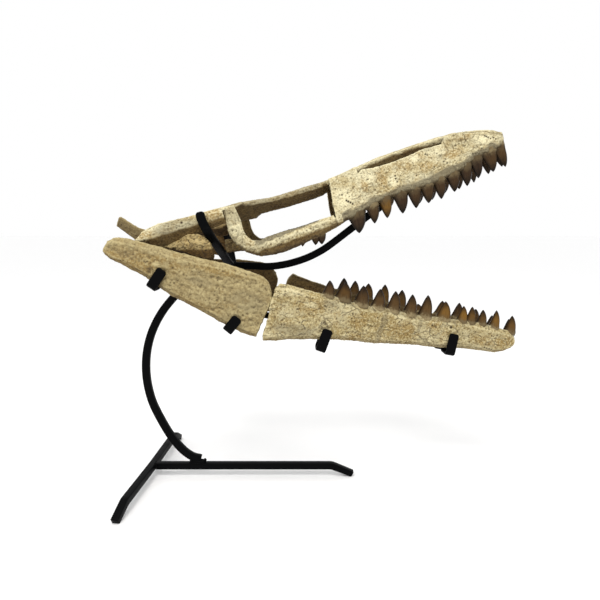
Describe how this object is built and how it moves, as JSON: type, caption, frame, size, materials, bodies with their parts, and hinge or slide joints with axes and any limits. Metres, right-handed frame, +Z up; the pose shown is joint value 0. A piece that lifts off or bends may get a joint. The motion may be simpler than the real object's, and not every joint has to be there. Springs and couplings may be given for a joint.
{
  "type": "mosasaur skull fossil on stand",
  "caption": "Open-jawed mosasaur skull fossil: long toothed cranium and two lower jaw halves, held on a curved black steel bar stand with two crossed feet.",
  "frame": {"origin": "middle of the floor plan of the whole mounted skull, at floor level, where the feet rest", "axes": "+X towards the snout, +Z up, the skull's right side towards -Y"},
  "size_m": [0.961, 0.4268, 0.8139],
  "materials": {
    "cranium_bone": "pale cream fossil bone, dry and pitted, with dark brown glossy tooth crowns",
    "jaw_bone": "warm tan fossil bone, dry and fine grained, with dark brown glossy tooth crowns",
    "brown_bone": "darker brown fossil bone, dry and porous",
    "black_steel": "satin black coat on bent and welded steel bar"
  },
  "bodies": {
    "root": {"premaxilla": "cranium_bone", "frontal": "cranium_bone", "parietal": "cranium_bone", "palate": "brown_bone", "braincase": "brown_bone", "maxilla_right": "cranium_bone", "prefrontal_right": "cranium_bone", "postorbital_right": "cranium_bone", "temporal_arch_right": "cranium_bone", "jugal_right": "cranium_bone", "suspensorium_right": "brown_bone", "quadrate_right": "brown_bone", "pterygoid_right": "brown_bone", "rear_jaw_right": "jaw_bone", "dentary_right": "jaw_bone", "stand_rail_right": "black_steel", "stand_arm_right": "black_steel", "stand_clip_right_1": "black_steel", "stand_clip_right_2": "black_steel", "stand_clip_right_3": "black_steel", "stand_clip_right_4": "black_steel", "maxilla_left": "cranium_bone", "prefrontal_left": "cranium_bone", "postorbital_left": "cranium_bone", "temporal_arch_left": "cranium_bone", "jugal_left": "cranium_bone", "suspensorium_left": "brown_bone", "quadrate_left": "brown_bone", "pterygoid_left": "brown_bone", "rear_jaw_left": "jaw_bone", "dentary_left": "jaw_bone", "stand_rail_left": "black_steel", "stand_arm_left": "black_steel", "stand_clip_left_1": "black_steel", "stand_clip_left_2": "black_steel", "stand_clip_left_3": "black_steel", "stand_clip_left_4": "black_steel", "stand_crossbar": "black_steel", "stand_long_bar": "black_steel", "stand_post": "black_steel", "stand_palate_rest": "black_steel", "stand_tie": "black_steel"}
  },
  "joints": []
}
